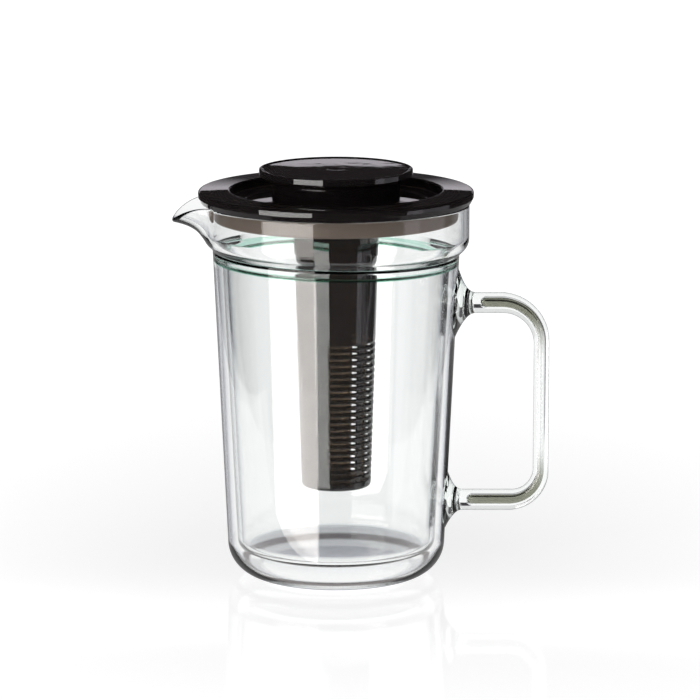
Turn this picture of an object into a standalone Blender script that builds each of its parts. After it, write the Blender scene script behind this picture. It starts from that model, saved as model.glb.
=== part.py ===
"""Double-walled glass jug with a pulled lip and a bent glass handle. A moulded lid lies in
its mouth and carries a slotted infuser, which a knob cap closes.

Metres, +Z up. The jug's axis is Z and it stands on the plane z = 0. The handle points
along +X and the lip along -X.
"""
import math

import bmesh
import bpy

# Clearance between pieces that touch or are fused on the real jug
SEAT_GAP = 0.0003

# Inner vessel, up to its shoulder
VESSEL_TOP_R = 0.0572
VESSEL_FOOT_R = 0.0496
VESSEL_CORNER_R = 0.0065
VESSEL_WALL = 0.0021
VESSEL_FLOOR = 0.0026
BASE_AIR_GAP = 0.0100

# Outer jacket, which stands round the vessel with air between
JACKET_WALL = 0.0021
JACKET_BASE = 0.0024
TOP_AIR_GAP = 0.0026
FOOT_AIR_GAP = 0.0033
JACKET_TOP_R = VESSEL_TOP_R + TOP_AIR_GAP + JACKET_WALL
JACKET_FOOT_R = VESSEL_FOOT_R + FOOT_AIR_GAP + JACKET_WALL
JACKET_CORNER_R = 0.018
SEAM_Z = 0.1632

# Shoulder, collar and rim
COLLAR_STEP = 0.0049
COLLAR_R = JACKET_TOP_R + COLLAR_STEP
COLLAR_WALL = 0.0024
FLARE_ANGLE = math.radians(47.0)
COLLAR_H = 0.0270
RIM_Z = SEAM_Z + COLLAR_H

# Pouring lip
LIP_LENGTH = 0.0196
LIP_BEND = math.radians(84.0)
LIP_BEND_LENGTH = 0.0066
LIP_HALF_ANGLE = math.radians(22.0)
LIP_SHAPE = 1.3

# Handle
HANDLE_TOP_DROP = 0.0244
HANDLE_TOP_Z = SEAM_Z - HANDLE_TOP_DROP
HANDLE_LOW_Z = 0.0374
HANDLE_SPAN = 0.0415
HANDLE_REACH = JACKET_TOP_R + HANDLE_SPAN
ARM_R = 0.0053
GRIP_R = 0.0039
TOP_BEND_SHARE = 0.494
LOW_BEND_SHARE = 0.3735
TOP_BEND_R = HANDLE_SPAN * TOP_BEND_SHARE
LOW_BEND_R = HANDLE_SPAN * LOW_BEND_SHARE
TOP_FLARE = 0.0120
TOP_FLARE_LENGTH = 0.0090
LOW_FLARE = 0.0090
LOW_FLARE_LENGTH = 0.0075

# Lid
FLANGE_OVERHANG = 0.0022
FLANGE_R = COLLAR_R + FLANGE_OVERHANG
FLANGE_H = 0.0047
FLANGE_CROWN = 0.0008
FLANGE_EDGE_R = 0.0014
FLANGE_LOW_EDGE_R = 0.0007
PLUG_CLEARANCE = 0.0034
PLUG_R = COLLAR_R - COLLAR_WALL - PLUG_CLEARANCE
PLUG_DEPTH = 0.0089
PLUG_DRAFT = 0.0007
PLUG_EDGE_R = 0.0014
LID_WALL = 0.0022
WELL_INSET = 0.0080
WELL_R = PLUG_R - WELL_INSET
WELL_DEPTH = 0.0044
WELL_EDGE_R = 0.0007
WELL_FLOOR_WIDTH = 0.0080
WELL_STEP_R = WELL_R - WELL_FLOOR_WIDTH
WELL_STEP = 0.0006
SEAT_RING_H = 0.0030
SEAT_RING_WALL = 0.0036

# Infuser
TUBE_TOP_R = 0.0221
TUBE_FOOT_R = 0.0176
TUBE_WALL = 0.0020
TUBE_FOOT_Z = 0.0455
TUBE_FOOT_EDGE_R = 0.0020
TUBE_CLEARANCE = 0.0005
COLLAR_PLATE_H = 0.0020
COLLAR_PLATE_OVERLAP = 0.0034
SLOT_COUNT = 24
SLOT_PITCH = 0.0033
SLOT_H = 0.0016
SLOT_DRAFT = 0.0002
SLOT_MARGIN = 0.0026
SLOT_FOOT_Z = TUBE_FOOT_Z + SLOT_MARGIN
GROOVE_DEPTH = 0.0011
FLUTE_COUNT = 4
FLUTE_DEPTH = 0.0011
BAR_WIDTH = 0.0030

# Knob cap
DRUM_ROOM = 0.0100
DRUM_R = TUBE_TOP_R + DRUM_ROOM
DRUM_WALL = 0.0020
DRUM_STEP = 0.0012
KNOB_OVERHANG = 0.0064
KNOB_R = DRUM_R + KNOB_OVERHANG
KNOB_EDGE_H = 0.0035
KNOB_RISE = 0.0169
KNOB_TOP_Z = RIM_Z + KNOB_RISE
KNOB_EDGE_R = 0.0011
KNOB_RIM_WIDTH = 0.0040
KNOB_DISH = 0.0016
KNOB_DIMPLE_R = 0.0045
KNOB_DIMPLE = 0.0005
KNOB_WALL = 0.0022
STOPPER_CLEARANCE = 0.0004
STOPPER_WALL = 0.0018
STOPPER_DEPTH = 0.0120

# Facets
GLASS_STEPS = 64
PLASTIC_STEPS = 44
FLUTE_FACETS = 5
HANDLE_RINGS = 6

PARTS_NAME = "glass_jug"
CUTTERS_NAME = "cutters"
MERGE = 0.00001


def clear_scene():
    """Empty the scene and the collections this model makes."""
    for thing in list(bpy.data.objects):
        bpy.data.objects.remove(thing, do_unlink=True)
    for name in (PARTS_NAME, CUTTERS_NAME):
        old = bpy.data.collections.get(name)
        if old:
            bpy.data.collections.remove(old)


def new_collection(name):
    """A collection in the scene."""
    made = bpy.data.collections.new(name)
    bpy.context.scene.collection.children.link(made)
    return made


def principled(name, colour, roughness, transmission=0.0):
    """A Principled material with the part's colour and gloss."""
    material = bpy.data.materials.new(name)
    material.use_nodes = True
    material.diffuse_color = colour
    shader = material.node_tree.nodes["Principled BSDF"]
    shader.inputs["Base Color"].default_value = colour
    shader.inputs["Roughness"].default_value = roughness
    shader.inputs["Metallic"].default_value = 0.0
    shader.inputs["Transmission Weight"].default_value = transmission
    return material


def arc(centre_r, centre_z, radius, start, end, count):
    """Points along an arc in the (r, z) plane, angles in degrees."""
    points = []
    for i in range(count + 1):
        angle = math.radians(start + (end - start) * i / count)
        points.append((centre_r + radius * math.cos(angle), centre_z + radius * math.sin(angle)))
    return points


def mesh_object(name, mesh, collection, material=None):
    """A named object in a collection, with its material."""
    made = bpy.data.objects.new(name, mesh)
    collection.objects.link(made)
    if material:
        mesh.materials.append(material)
    return made


def turned(name, outline, steps, collection, material=None, closed=False):
    """Turn an outline of (r, z) points round the Z axis with a Screw modifier."""
    mesh = bpy.data.meshes.new(name)
    edges = [(i, i + 1) for i in range(len(outline) - 1)]
    if closed:
        edges.append((len(outline) - 1, 0))
    mesh.from_pydata([(r, 0.0, z) for r, z in outline], edges, [])
    made = mesh_object(name, mesh, collection, material)
    screw = made.modifiers.new("turn", "SCREW")
    screw.axis = "Z"
    screw.angle = math.tau
    screw.steps = steps
    screw.render_steps = steps
    screw.use_merge_vertices = True
    screw.merge_threshold = MERGE
    return made


def applied(source, name, collection, material=None):
    """A plain mesh object from an object's evaluated shape. The source is removed."""
    bpy.context.view_layer.update()
    depsgraph = bpy.context.evaluated_depsgraph_get()
    mesh = bpy.data.meshes.new_from_object(source.evaluated_get(depsgraph))
    mesh.transform(source.matrix_world)
    body = bmesh.new()
    body.from_mesh(mesh)
    bmesh.ops.remove_doubles(body, verts=body.verts, dist=MERGE)
    body.to_mesh(mesh)
    body.free()
    bpy.data.objects.remove(source, do_unlink=True)
    mesh.materials.clear()
    return mesh_object(name, mesh, collection, material)


def cut(target, cutter):
    """Take a cutter away from a target with an exact Boolean."""
    cutter.hide_render = True
    cutter.display_type = "WIRE"
    boolean = target.modifiers.new("cut_" + cutter.name, "BOOLEAN")
    boolean.operation = "DIFFERENCE"
    boolean.object = cutter


def shade_round(thing, sharp_angle=35.0):
    """Shade an object smooth, with creases where faces meet at a sharp angle."""
    thing.data.shade_smooth()
    thing.data.set_sharp_from_angle(angle=math.radians(sharp_angle))


def jacket_radius(z):
    """Outer radius of the jacket's conical wall at a height."""
    share = (z - JACKET_CORNER_R) / (SEAM_Z - JACKET_CORNER_R)
    return JACKET_FOOT_R + (JACKET_TOP_R - JACKET_FOOT_R) * share


def vessel_foot_z():
    """Height of the inner vessel's underside."""
    return JACKET_BASE + BASE_AIR_GAP


def flare_z(radius):
    """Height of the flare's outer side at a radius. The jacket's edge meets it at the seam."""
    above = (radius - JACKET_TOP_R) / math.tan(FLARE_ANGLE)
    return SEAM_Z + SEAT_GAP / math.sin(FLARE_ANGLE) + above


def jacket_outer_side(offset=0.0):
    """The jacket's outer side from the seam down to the axis, moved outwards by an offset."""
    corner_r = JACKET_CORNER_R + offset
    centre = (JACKET_FOOT_R - JACKET_CORNER_R, JACKET_CORNER_R)
    side = [(JACKET_TOP_R + offset, SEAM_Z)]
    side += arc(centre[0], centre[1], corner_r, 0.0, -90.0, 6)
    side.append((0.0, -offset))
    return side


def outer_jacket(parts, glass):
    """The blown cup that stands on the table, turned in at its top to meet the vessel."""
    inner_corner_r = JACKET_CORNER_R - JACKET_WALL
    centre = (JACKET_FOOT_R - JACKET_CORNER_R, JACKET_BASE + inner_corner_r)
    ring_r = VESSEL_TOP_R + SEAT_GAP
    ring_foot_z = flare_z(VESSEL_TOP_R) - SEAT_GAP * math.tan(FLARE_ANGLE / 2.0)
    ring_round = (jacket_radius(ring_foot_z) - JACKET_WALL - ring_r) / 2.0
    outline = [(0.0, JACKET_BASE)]
    outline += arc(centre[0], centre[1], inner_corner_r, -90.0, 0.0, 4)
    outline += arc(ring_r + ring_round, ring_foot_z - ring_round, ring_round, 0.0, 180.0, 3)
    outline.append((ring_r, ring_foot_z))
    outline += jacket_outer_side()
    jacket = turned("turned_jacket", outline, GLASS_STEPS, parts)
    jacket = applied(jacket, "outer_jacket", parts, glass)
    shade_round(jacket)
    return jacket


def lip_pull(radius, angle, z):
    """Where a point of the collar goes when the lip is bent outwards and down.

    The wall bends like a strip: its direction turns from upright towards level along the
    strip, and the turn fades to nothing at the lip's two sides.
    """
    height = z - (RIM_Z - LIP_LENGTH)
    away = abs(angle) / LIP_HALF_ANGLE
    if height <= 0.0 or away >= 1.0:
        return radius, z
    weight = (1.0 - away * away) ** LIP_SHAPE
    steps = 24
    bent_r = COLLAR_R
    bent_z = z - height
    step = height / steps
    slope = 0.0
    for i in range(steps):
        along = (i + 0.5) * step
        slope = weight * LIP_BEND * (1.0 - math.exp(-along / LIP_BEND_LENGTH))
        bent_r += step * math.sin(slope)
        bent_z += step * math.cos(slope)
    inset = COLLAR_R - radius
    return bent_r - inset * math.cos(slope), bent_z + inset * math.sin(slope)


def inner_vessel(parts, glass):
    """The vessel that holds the drink: wall, floor, shoulder, collar, rim and pulled lip."""
    foot_z = vessel_foot_z()
    floor_z = foot_z + VESSEL_FLOOR
    corner_x = VESSEL_FOOT_R - VESSEL_CORNER_R
    inner_corner_r = VESSEL_CORNER_R - VESSEL_WALL
    flare_foot_z = flare_z(VESSEL_TOP_R)
    knee_z = flare_z(COLLAR_R)
    mitre = math.tan(FLARE_ANGLE / 2.0)
    collar_inner_r = COLLAR_R - COLLAR_WALL
    rim_r = COLLAR_WALL / 2.0
    lip_rows = 5
    lip_foot_z = RIM_Z - LIP_LENGTH
    wall_top_z = RIM_Z - rim_r

    inner = [(0.0, floor_z)]
    inner += arc(corner_x, floor_z + inner_corner_r, inner_corner_r, -90.0, 0.0, 3)
    inner.append((VESSEL_TOP_R - VESSEL_WALL, flare_foot_z + VESSEL_WALL * mitre))
    inner.append((collar_inner_r, knee_z + COLLAR_WALL * mitre))
    rows = [lip_foot_z + (wall_top_z - lip_foot_z) * i / lip_rows for i in range(1, lip_rows)]
    inner += [(collar_inner_r, z) for z in rows]
    rim = arc(COLLAR_R - rim_r, wall_top_z, rim_r, 180.0, 0.0, 4)
    outer = [(COLLAR_R, z) for z in reversed(rows)]
    outer += [(COLLAR_R, knee_z), (VESSEL_TOP_R, flare_foot_z)]
    outer += arc(corner_x, foot_z + VESSEL_CORNER_R, VESSEL_CORNER_R, 0.0, -90.0, 3)
    outer.append((0.0, foot_z))

    vessel = turned("turned_vessel", inner + rim + outer, GLASS_STEPS, parts)
    vessel = applied(vessel, "inner_vessel", parts, glass)
    for vertex in vessel.data.vertices:
        radius = math.hypot(vertex.co.x, vertex.co.y)
        angle = math.atan2(vertex.co.y, -vertex.co.x)
        radius, vertex.co.z = lip_pull(radius, angle, vertex.co.z)
        vertex.co.x = -radius * math.cos(angle)
        vertex.co.y = radius * math.sin(angle)
    shade_round(vessel)
    return vessel


def flare(distance, length, extra):
    """Extra radius of the handle's trumpet-shaped root at a distance from the wall."""
    share = max(0.0, 1.0 - distance / length)
    return extra * share * share


def root_points(z, length, extra, arm_r):
    """Points (x, z, radius) of a root, from inside the wall out to where the flare ends."""
    wall_x = jacket_radius(z)
    points = []
    for i in range(HANDLE_RINGS + 1):
        distance = length * i / HANDLE_RINGS
        points.append((wall_x + distance, z, arm_r + flare(distance, length, extra)))
    points.insert(0, (wall_x - JACKET_WALL, z, arm_r + extra))
    return points


def handle(parts, cutters, glass):
    """The bent tube, wide at its two fused roots and drawn thinner along the grip."""
    points = root_points(HANDLE_TOP_Z, TOP_FLARE_LENGTH, TOP_FLARE, ARM_R)
    bend_steps = 8
    for radius, centre_z, start in (
        (TOP_BEND_R, HANDLE_TOP_Z - TOP_BEND_R, 90.0),
        (LOW_BEND_R, HANDLE_LOW_Z + LOW_BEND_R, 0.0),
    ):
        bend = arc(HANDLE_REACH - radius, centre_z, radius, start, start - 90.0, bend_steps)
        for i, (x, z) in enumerate(bend):
            share = i / bend_steps if start > 0.0 else 1.0 - i / bend_steps
            points.append((x, z, ARM_R + (GRIP_R - ARM_R) * share))
    points += reversed(root_points(HANDLE_LOW_Z, LOW_FLARE_LENGTH, LOW_FLARE, ARM_R))

    curve = bpy.data.curves.new("handle_path", "CURVE")
    curve.dimensions = "3D"
    curve.bevel_depth = ARM_R
    curve.bevel_resolution = 6
    curve.use_fill_caps = True
    spline = curve.splines.new("POLY")
    spline.points.add(len(points) - 1)
    for point, (x, z, radius) in zip(spline.points, points):
        point.co = (x, 0.0, z, 1.0)
        point.radius = radius / ARM_R
    tube = bpy.data.objects.new("handle_path", curve)
    parts.objects.link(tube)
    made = applied(tube, "handle", parts, glass)

    for z_axis, length in ((HANDLE_TOP_Z, TOP_FLARE_LENGTH), (HANDLE_LOW_Z, LOW_FLARE_LENGTH)):
        wall_x = jacket_radius(z_axis)
        for vertex in made.data.vertices:
            if abs(vertex.co.z - z_axis) > (HANDLE_TOP_Z - HANDLE_LOW_Z) / 2.0:
                continue
            share = 1.0 - (vertex.co.x - wall_x) / length
            if share <= 0.0:
                continue
            share = min(1.0, share)
            here_r = jacket_radius(vertex.co.z)
            here_x = math.sqrt(here_r * here_r - vertex.co.y * vertex.co.y)
            vertex.co.x += share * share * (3.0 - 2.0 * share) * (here_x - wall_x)

    keep_off = [(0.0, SEAM_Z)] + jacket_outer_side(SEAT_GAP)
    cut(made, turned("jacket_space", keep_off, GLASS_STEPS, cutters))
    shade_round(made, 50.0)
    return made


def flange_foot_z():
    """Height of the lid flange's underside, which lies on the rim."""
    return RIM_Z + SEAT_GAP


def well_floor_z():
    """Height of the well's floor at its outer edge."""
    return flange_foot_z() + FLANGE_H + FLANGE_CROWN - WELL_DEPTH


def tube_radius(z):
    """Outer radius of the infuser's tapered barrel at a height."""
    top_z = seat_ring_top_z()
    share = (z - TUBE_FOOT_Z) / (top_z - TUBE_FOOT_Z)
    return TUBE_FOOT_R + (TUBE_TOP_R - TUBE_FOOT_R) * share


def seat_ring_top_z():
    """Height of the ring in the lid on which the infuser's collar plate lies."""
    return well_floor_z() - WELL_STEP + SEAT_RING_H


def seat_ring_hole_r():
    """Radius of the lid's central hole."""
    return TUBE_TOP_R + TUBE_CLEARANCE


def lid(parts, plastic):
    """The moulded lid: crowned flange, recessed well, seat ring and hollow plug skirt."""
    foot_z = flange_foot_z()
    edge_z = foot_z + FLANGE_H
    crown_z = edge_z + FLANGE_CROWN
    floor_z = well_floor_z()
    low_floor_z = floor_z - WELL_STEP
    under_z = low_floor_z - LID_WALL
    hole_r = seat_ring_hole_r()
    ring_r = hole_r + SEAT_RING_WALL
    skirt_top_r = PLUG_R + PLUG_DRAFT
    plug_z = foot_z - PLUG_DEPTH
    core_top_z = edge_z - LID_WALL
    skirt_inner_r = PLUG_R - LID_WALL
    well_wall_r = WELL_R + LID_WALL

    outline = [(hole_r, under_z), (hole_r, seat_ring_top_z()), (ring_r, seat_ring_top_z())]
    outline += [(ring_r, low_floor_z), (WELL_STEP_R, low_floor_z), (WELL_STEP_R + WELL_STEP, floor_z)]
    outline.append((WELL_R - WELL_EDGE_R, floor_z))
    outline += arc(WELL_R + WELL_EDGE_R, crown_z - WELL_EDGE_R, WELL_EDGE_R, 180.0, 90.0, 3)
    outline += arc(FLANGE_R - FLANGE_EDGE_R, edge_z - FLANGE_EDGE_R, FLANGE_EDGE_R, 90.0, 0.0, 4)
    low_edge_z = foot_z + FLANGE_LOW_EDGE_R
    outline += arc(FLANGE_R - FLANGE_LOW_EDGE_R, low_edge_z, FLANGE_LOW_EDGE_R, 0.0, -90.0, 2)
    outline.append((skirt_top_r, foot_z))
    outline += arc(PLUG_R - PLUG_EDGE_R, plug_z + PLUG_EDGE_R, PLUG_EDGE_R, 0.0, -90.0, 3)
    outline += [(skirt_inner_r, plug_z), (skirt_inner_r, core_top_z)]
    outline += [(well_wall_r, core_top_z), (well_wall_r, under_z)]
    made = turned("turned_lid", outline, PLASTIC_STEPS, parts, closed=True)
    made = applied(made, "lid", parts, plastic)
    shade_round(made)
    return made


def slot_profile():
    """The infuser's outer side down the strainer, with one groove for each ring of slots."""
    points = []
    for i in reversed(range(SLOT_COUNT)):
        low_z = SLOT_FOOT_Z + i * SLOT_PITCH
        high_z = low_z + SLOT_H
        points.append((tube_radius(high_z), high_z))
        points.append((tube_radius(high_z) - GROOVE_DEPTH, high_z - SLOT_DRAFT))
        points.append((tube_radius(low_z) - GROOVE_DEPTH, low_z + SLOT_DRAFT))
        points.append((tube_radius(low_z), low_z))
    return points


def fluted_core(cutters):
    """The core that forms the upright flutes inside the strainer, leaving bars between."""
    low_z = SLOT_FOOT_Z - SLOT_DRAFT
    high_z = SLOT_FOOT_Z + (SLOT_COUNT - 1) * SLOT_PITCH + SLOT_H + SLOT_DRAFT
    bore_r = tube_radius(low_z) - TUBE_WALL
    flute_r = bore_r + FLUTE_DEPTH
    inner_r = bore_r - FLUTE_DEPTH
    facet = math.tau / (FLUTE_COUNT * FLUTE_FACETS)
    bar_edge = BAR_WIDTH / bore_r / 2.0
    bar_r = flute_r * math.cos(facet / 2.0) / math.cos(facet / 2.0 - bar_edge)
    curve = bpy.data.curves.new("fluted_core", "CURVE")
    curve.dimensions = "2D"
    curve.fill_mode = "BOTH"
    curve.extrude = (high_z - low_z) / 2.0
    outline = []
    for i in range(FLUTE_COUNT):
        bar_angle = (i + 0.5) * FLUTE_FACETS * facet
        next_angle = bar_angle + FLUTE_FACETS * facet
        outline += [(inner_r, bar_angle + bar_edge), (bar_r, bar_angle + bar_edge)]
        outline += [(flute_r, bar_angle + k * facet) for k in range(1, FLUTE_FACETS)]
        outline += [(bar_r, next_angle - bar_edge), (inner_r, next_angle - bar_edge)]
    spline = curve.splines.new("POLY")
    spline.points.add(len(outline) - 1)
    for point, (radius, angle) in zip(spline.points, outline):
        point.co = (radius * math.cos(angle), radius * math.sin(angle), 0.0, 1.0)
    spline.use_cyclic_u = True
    core = bpy.data.objects.new("fluted_core_path", curve)
    core.location.z = (low_z + high_z) / 2.0
    cutters.objects.link(core)
    made = applied(core, "fluted_core", cutters)
    for vertex in made.data.vertices:
        grow = (tube_radius(vertex.co.z) - tube_radius(low_z) + bore_r) / bore_r
        vertex.co.x *= grow
        vertex.co.y *= grow
    return made


def infuser(parts, cutters, plastic):
    """The tapered barrel. Ring grooves outside cross upright flutes inside, and where
    they cross the wall is open, so the strainer's slots come out of one moulding."""
    plate_z = seat_ring_top_z() + SEAT_GAP
    plate_top_z = plate_z + COLLAR_PLATE_H
    plate_r = seat_ring_hole_r() + COLLAR_PLATE_OVERLAP
    foot_z = TUBE_FOOT_Z + TUBE_FOOT_EDGE_R
    bore_foot_z = TUBE_FOOT_Z + TUBE_WALL
    outline = [(0.0, bore_foot_z)]
    outline.append((tube_radius(bore_foot_z) - TUBE_WALL, bore_foot_z))
    outline.append((TUBE_TOP_R - TUBE_WALL, plate_top_z))
    outline += [(plate_r, plate_top_z), (plate_r, plate_z), (TUBE_TOP_R, plate_z)]
    outline += slot_profile()
    edge_x = tube_radius(foot_z) - TUBE_FOOT_EDGE_R
    outline += arc(edge_x, foot_z, TUBE_FOOT_EDGE_R, 0.0, -90.0, 3)
    outline.append((0.0, TUBE_FOOT_Z))
    made = turned("turned_infuser", outline, FLUTE_COUNT * FLUTE_FACETS, parts)
    made = applied(made, "infuser", parts, plastic)
    cut(made, fluted_core(cutters))
    shade_round(made)
    return made


def knob_cap(parts, plastic):
    """The dished disc on a drum, with a stopper inside that plugs the infuser's mouth."""
    disc_foot_z = KNOB_TOP_Z - KNOB_EDGE_H
    dish_z = KNOB_TOP_Z - KNOB_DISH
    drum_foot_z = well_floor_z() - WELL_STEP + SEAT_GAP
    drum_inner_r = DRUM_R - DRUM_WALL
    under_z = dish_z - KNOB_WALL
    stopper_z = under_z - STOPPER_DEPTH
    stopper_r = tube_radius(stopper_z) - TUBE_WALL - STOPPER_CLEARANCE
    stopper_inner_r = stopper_r - STOPPER_WALL

    outline = [(0.0, under_z), (stopper_inner_r, under_z), (stopper_inner_r, stopper_z)]
    outline += [(stopper_r, stopper_z), (stopper_r, under_z), (drum_inner_r, under_z)]
    outline += [(drum_inner_r, drum_foot_z), (DRUM_R, drum_foot_z)]
    outline.reverse()
    top = [(0.0, dish_z - KNOB_DIMPLE), (KNOB_DIMPLE_R / 2.0, dish_z - KNOB_DIMPLE / 2.0)]
    top.append((KNOB_DIMPLE_R, dish_z))
    top.append((KNOB_R - KNOB_RIM_WIDTH, dish_z))
    top.append((KNOB_R - KNOB_RIM_WIDTH / 2.0, KNOB_TOP_Z))
    top += arc(KNOB_R - KNOB_EDGE_R, KNOB_TOP_Z - KNOB_EDGE_R, KNOB_EDGE_R, 90.0, 0.0, 3)
    top += arc(KNOB_R - KNOB_EDGE_R, disc_foot_z + KNOB_EDGE_R, KNOB_EDGE_R, 0.0, -90.0, 3)
    top += [(DRUM_R + DRUM_STEP, disc_foot_z), (DRUM_R + DRUM_STEP, disc_foot_z - DRUM_STEP)]
    top.append((DRUM_R, disc_foot_z - 2.0 * DRUM_STEP))
    made = turned("turned_knob", top + outline, PLASTIC_STEPS, parts)
    made = applied(made, "knob_cap", parts, plastic)
    shade_round(made)
    return made


def build():
    clear_scene()
    parts = new_collection(PARTS_NAME)
    cutters = new_collection(CUTTERS_NAME)
    glass = principled("clear_glass", (0.90, 0.93, 0.93, 1.0), 0.02, transmission=0.9)
    smoke = principled("smoke_plastic", (0.045, 0.030, 0.028, 1.0), 0.12)
    outer_jacket(parts, glass)
    inner_vessel(parts, glass)
    handle(parts, cutters, glass)
    lid(parts, smoke)
    infuser(parts, cutters, smoke)
    knob_cap(parts, smoke)


build()
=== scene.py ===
import math

import bmesh
import bpy
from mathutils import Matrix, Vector


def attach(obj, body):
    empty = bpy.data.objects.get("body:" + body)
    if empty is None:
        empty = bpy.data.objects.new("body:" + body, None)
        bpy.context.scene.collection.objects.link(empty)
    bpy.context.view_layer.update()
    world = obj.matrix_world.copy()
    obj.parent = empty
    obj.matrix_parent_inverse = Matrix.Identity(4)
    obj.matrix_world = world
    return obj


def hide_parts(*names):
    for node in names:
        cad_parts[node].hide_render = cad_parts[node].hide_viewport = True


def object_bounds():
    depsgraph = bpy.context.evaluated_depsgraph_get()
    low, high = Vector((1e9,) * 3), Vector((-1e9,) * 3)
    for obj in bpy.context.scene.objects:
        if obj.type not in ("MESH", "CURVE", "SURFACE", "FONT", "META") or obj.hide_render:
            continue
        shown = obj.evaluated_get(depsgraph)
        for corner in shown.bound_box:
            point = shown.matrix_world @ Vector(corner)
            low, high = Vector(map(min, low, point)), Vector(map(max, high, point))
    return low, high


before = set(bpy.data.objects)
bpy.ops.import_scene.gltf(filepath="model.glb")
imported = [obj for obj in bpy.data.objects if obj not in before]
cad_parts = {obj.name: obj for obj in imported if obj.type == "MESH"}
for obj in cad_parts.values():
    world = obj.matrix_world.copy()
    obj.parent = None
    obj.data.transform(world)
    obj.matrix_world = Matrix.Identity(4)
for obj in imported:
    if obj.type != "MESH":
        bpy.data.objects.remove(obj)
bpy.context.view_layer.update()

# Camera: it stands a little over two metres in front, above the rim, and looks down
# gently at the jug, with a long lens.
jug_camera = bpy.data.cameras.new("camera")
jug_camera.sensor_width = 36.0
jug_camera.lens = 233.9
camera = bpy.data.objects.new("camera", jug_camera)
camera.location = (0.007, -2.246, 0.5575)
camera.rotation_euler = (math.radians(78.842), 0.0, 0.0)
bpy.context.scene.collection.objects.link(camera)
bpy.context.scene.camera = camera
bpy.context.scene.view_settings.view_transform = "Standard"


# Table: a wide pale top, faintly glossy, lit from above. It shows white behind the glass,
# mirrors a little of the base and keeps the shadow, and its glow is painted weaker near the
# jug as a painted soft shadow. In front of the jug a glossy ray goes through it, as the
# polished top there only mirrors the dim room. What shows straight through both walls of the
# glass is white from every side.
def node_at(tree, kind, **settings):
    """A shader node with some of its settings or sockets filled in."""
    made = tree.nodes.new(kind)
    for name, value in settings.items():
        if hasattr(made, name):
            setattr(made, name, value)
        else:
            made.inputs[name.replace("_", " ")].default_value = value
    return made


def maths(tree, operation, first, second=None, third=None):
    """One Math node on sockets or plain numbers, and its result."""
    made = tree.nodes.new("ShaderNodeMath")
    made.operation = operation
    for place, value in enumerate((first, second, third)):
        if value is None:
            continue
        if isinstance(value, (int, float)):
            made.inputs[place].default_value = value
        else:
            tree.links.new(value, made.inputs[place])
    return made.outputs[0]


def straight_through(path, tree):
    """1 for a ray that has gone in and out of the glass and was never mirrored."""
    walls_crossed = maths(tree, "GREATER_THAN", path.outputs["Transmission Depth"], 1.5)
    unmirrored = maths(tree, "LESS_THAN", path.outputs["Glossy Depth"], 0.5)
    return maths(tree, "MULTIPLY", walls_crossed, unmirrored)


def mixed(tree, share, first, second):
    """A Mix Shader between two shader sockets."""
    made = tree.nodes.new("ShaderNodeMixShader")
    tree.links.new(share, made.inputs[0])
    tree.links.new(first, made.inputs[1])
    tree.links.new(second, made.inputs[2])
    return made.outputs[0]


table_radius = 6.0
table_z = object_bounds()[0][2]

table_paint = bpy.data.materials.new("pale_table_top")
table_paint.use_nodes = True
tree = table_paint.node_tree
tree.nodes.clear()
out = tree.nodes.new("ShaderNodeOutputMaterial")
path = tree.nodes.new("ShaderNodeLightPath")
place = tree.nodes.new("ShaderNodeTexCoord")
xyz = tree.nodes.new("ShaderNodeSeparateXYZ")
tree.links.new(place.outputs["Object"], xyz.inputs[0])
grain = node_at(tree, "ShaderNodeTexNoise", Scale=340.0, Detail=3.0, Roughness=0.6)
tree.links.new(place.outputs["Object"], grain.inputs["Vector"])
tint = tree.nodes.new("ShaderNodeValToRGB")
tint.color_ramp.elements[0].position = 0.3
tint.color_ramp.elements[0].color = (0.80, 0.80, 0.81, 1.0)
tint.color_ramp.elements[1].position = 0.7
tint.color_ramp.elements[1].color = (0.84, 0.84, 0.85, 1.0)
tree.links.new(grain.outputs["Fac"], tint.inputs[0])
lacquer = tree.nodes.new("ShaderNodeBsdfPrincipled")
lacquer.inputs["Roughness"].default_value = 0.06
lacquer.inputs["IOR"].default_value = 1.35
tree.links.new(tint.outputs[0], lacquer.inputs["Base Color"])
glow = tree.nodes.new("ShaderNodeEmission")
# Painted shadow: the glow is weaker near the jug and rises outwards, a soft painted shade round the base
out_from_jug = node_at(tree, "ShaderNodeVectorMath", operation="LENGTH")
tree.links.new(place.outputs["Object"], out_from_jug.inputs[0])
painted_shade_near_jug = tree.nodes.new("ShaderNodeMapRange")
painted_shade_near_jug.inputs["From Min"].default_value = 0.10
painted_shade_near_jug.inputs["From Max"].default_value = 0.90
painted_shade_near_jug.inputs["To Min"].default_value = 0.60
painted_shade_near_jug.inputs["To Max"].default_value = 0.93
tree.links.new(out_from_jug.outputs["Value"], painted_shade_near_jug.inputs["Value"])
tree.links.new(painted_shade_near_jug.outputs[0], glow.inputs["Strength"])
both = tree.nodes.new("ShaderNodeAddShader")
tree.links.new(lacquer.outputs[0], both.inputs[0])
tree.links.new(glow.outputs[0], both.inputs[1])
white = tree.nodes.new("ShaderNodeEmission")
through = tree.nodes.new("ShaderNodeBsdfTransparent")
in_front = maths(tree, "LESS_THAN", xyz.outputs["Y"], -0.10)
beside = maths(tree, "GREATER_THAN", maths(tree, "ABSOLUTE", xyz.outputs["X"]), 0.40)
off_sweep = maths(tree, "MAXIMUM", in_front, beside)
mirrored = maths(tree, "MINIMUM", maths(tree, "ADD", path.outputs["Is Glossy Ray"],
                                        path.outputs["Glossy Depth"]), 1.0)
astray = maths(tree, "SUBTRACT", mirrored, straight_through(path, tree))
gone = maths(tree, "MULTIPLY", off_sweep, maths(tree, "MAXIMUM", astray, 0.0))
first_mirror = maths(tree, "LESS_THAN", maths(tree, "ADD", path.outputs["Transmission Depth"],
                                             maths(tree, "SUBTRACT", 1.0, mirrored)), 0.5)
tree.links.new(maths(tree, "MULTIPLY_ADD", first_mirror, -0.68, 1.0), white.inputs["Strength"])
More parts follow.
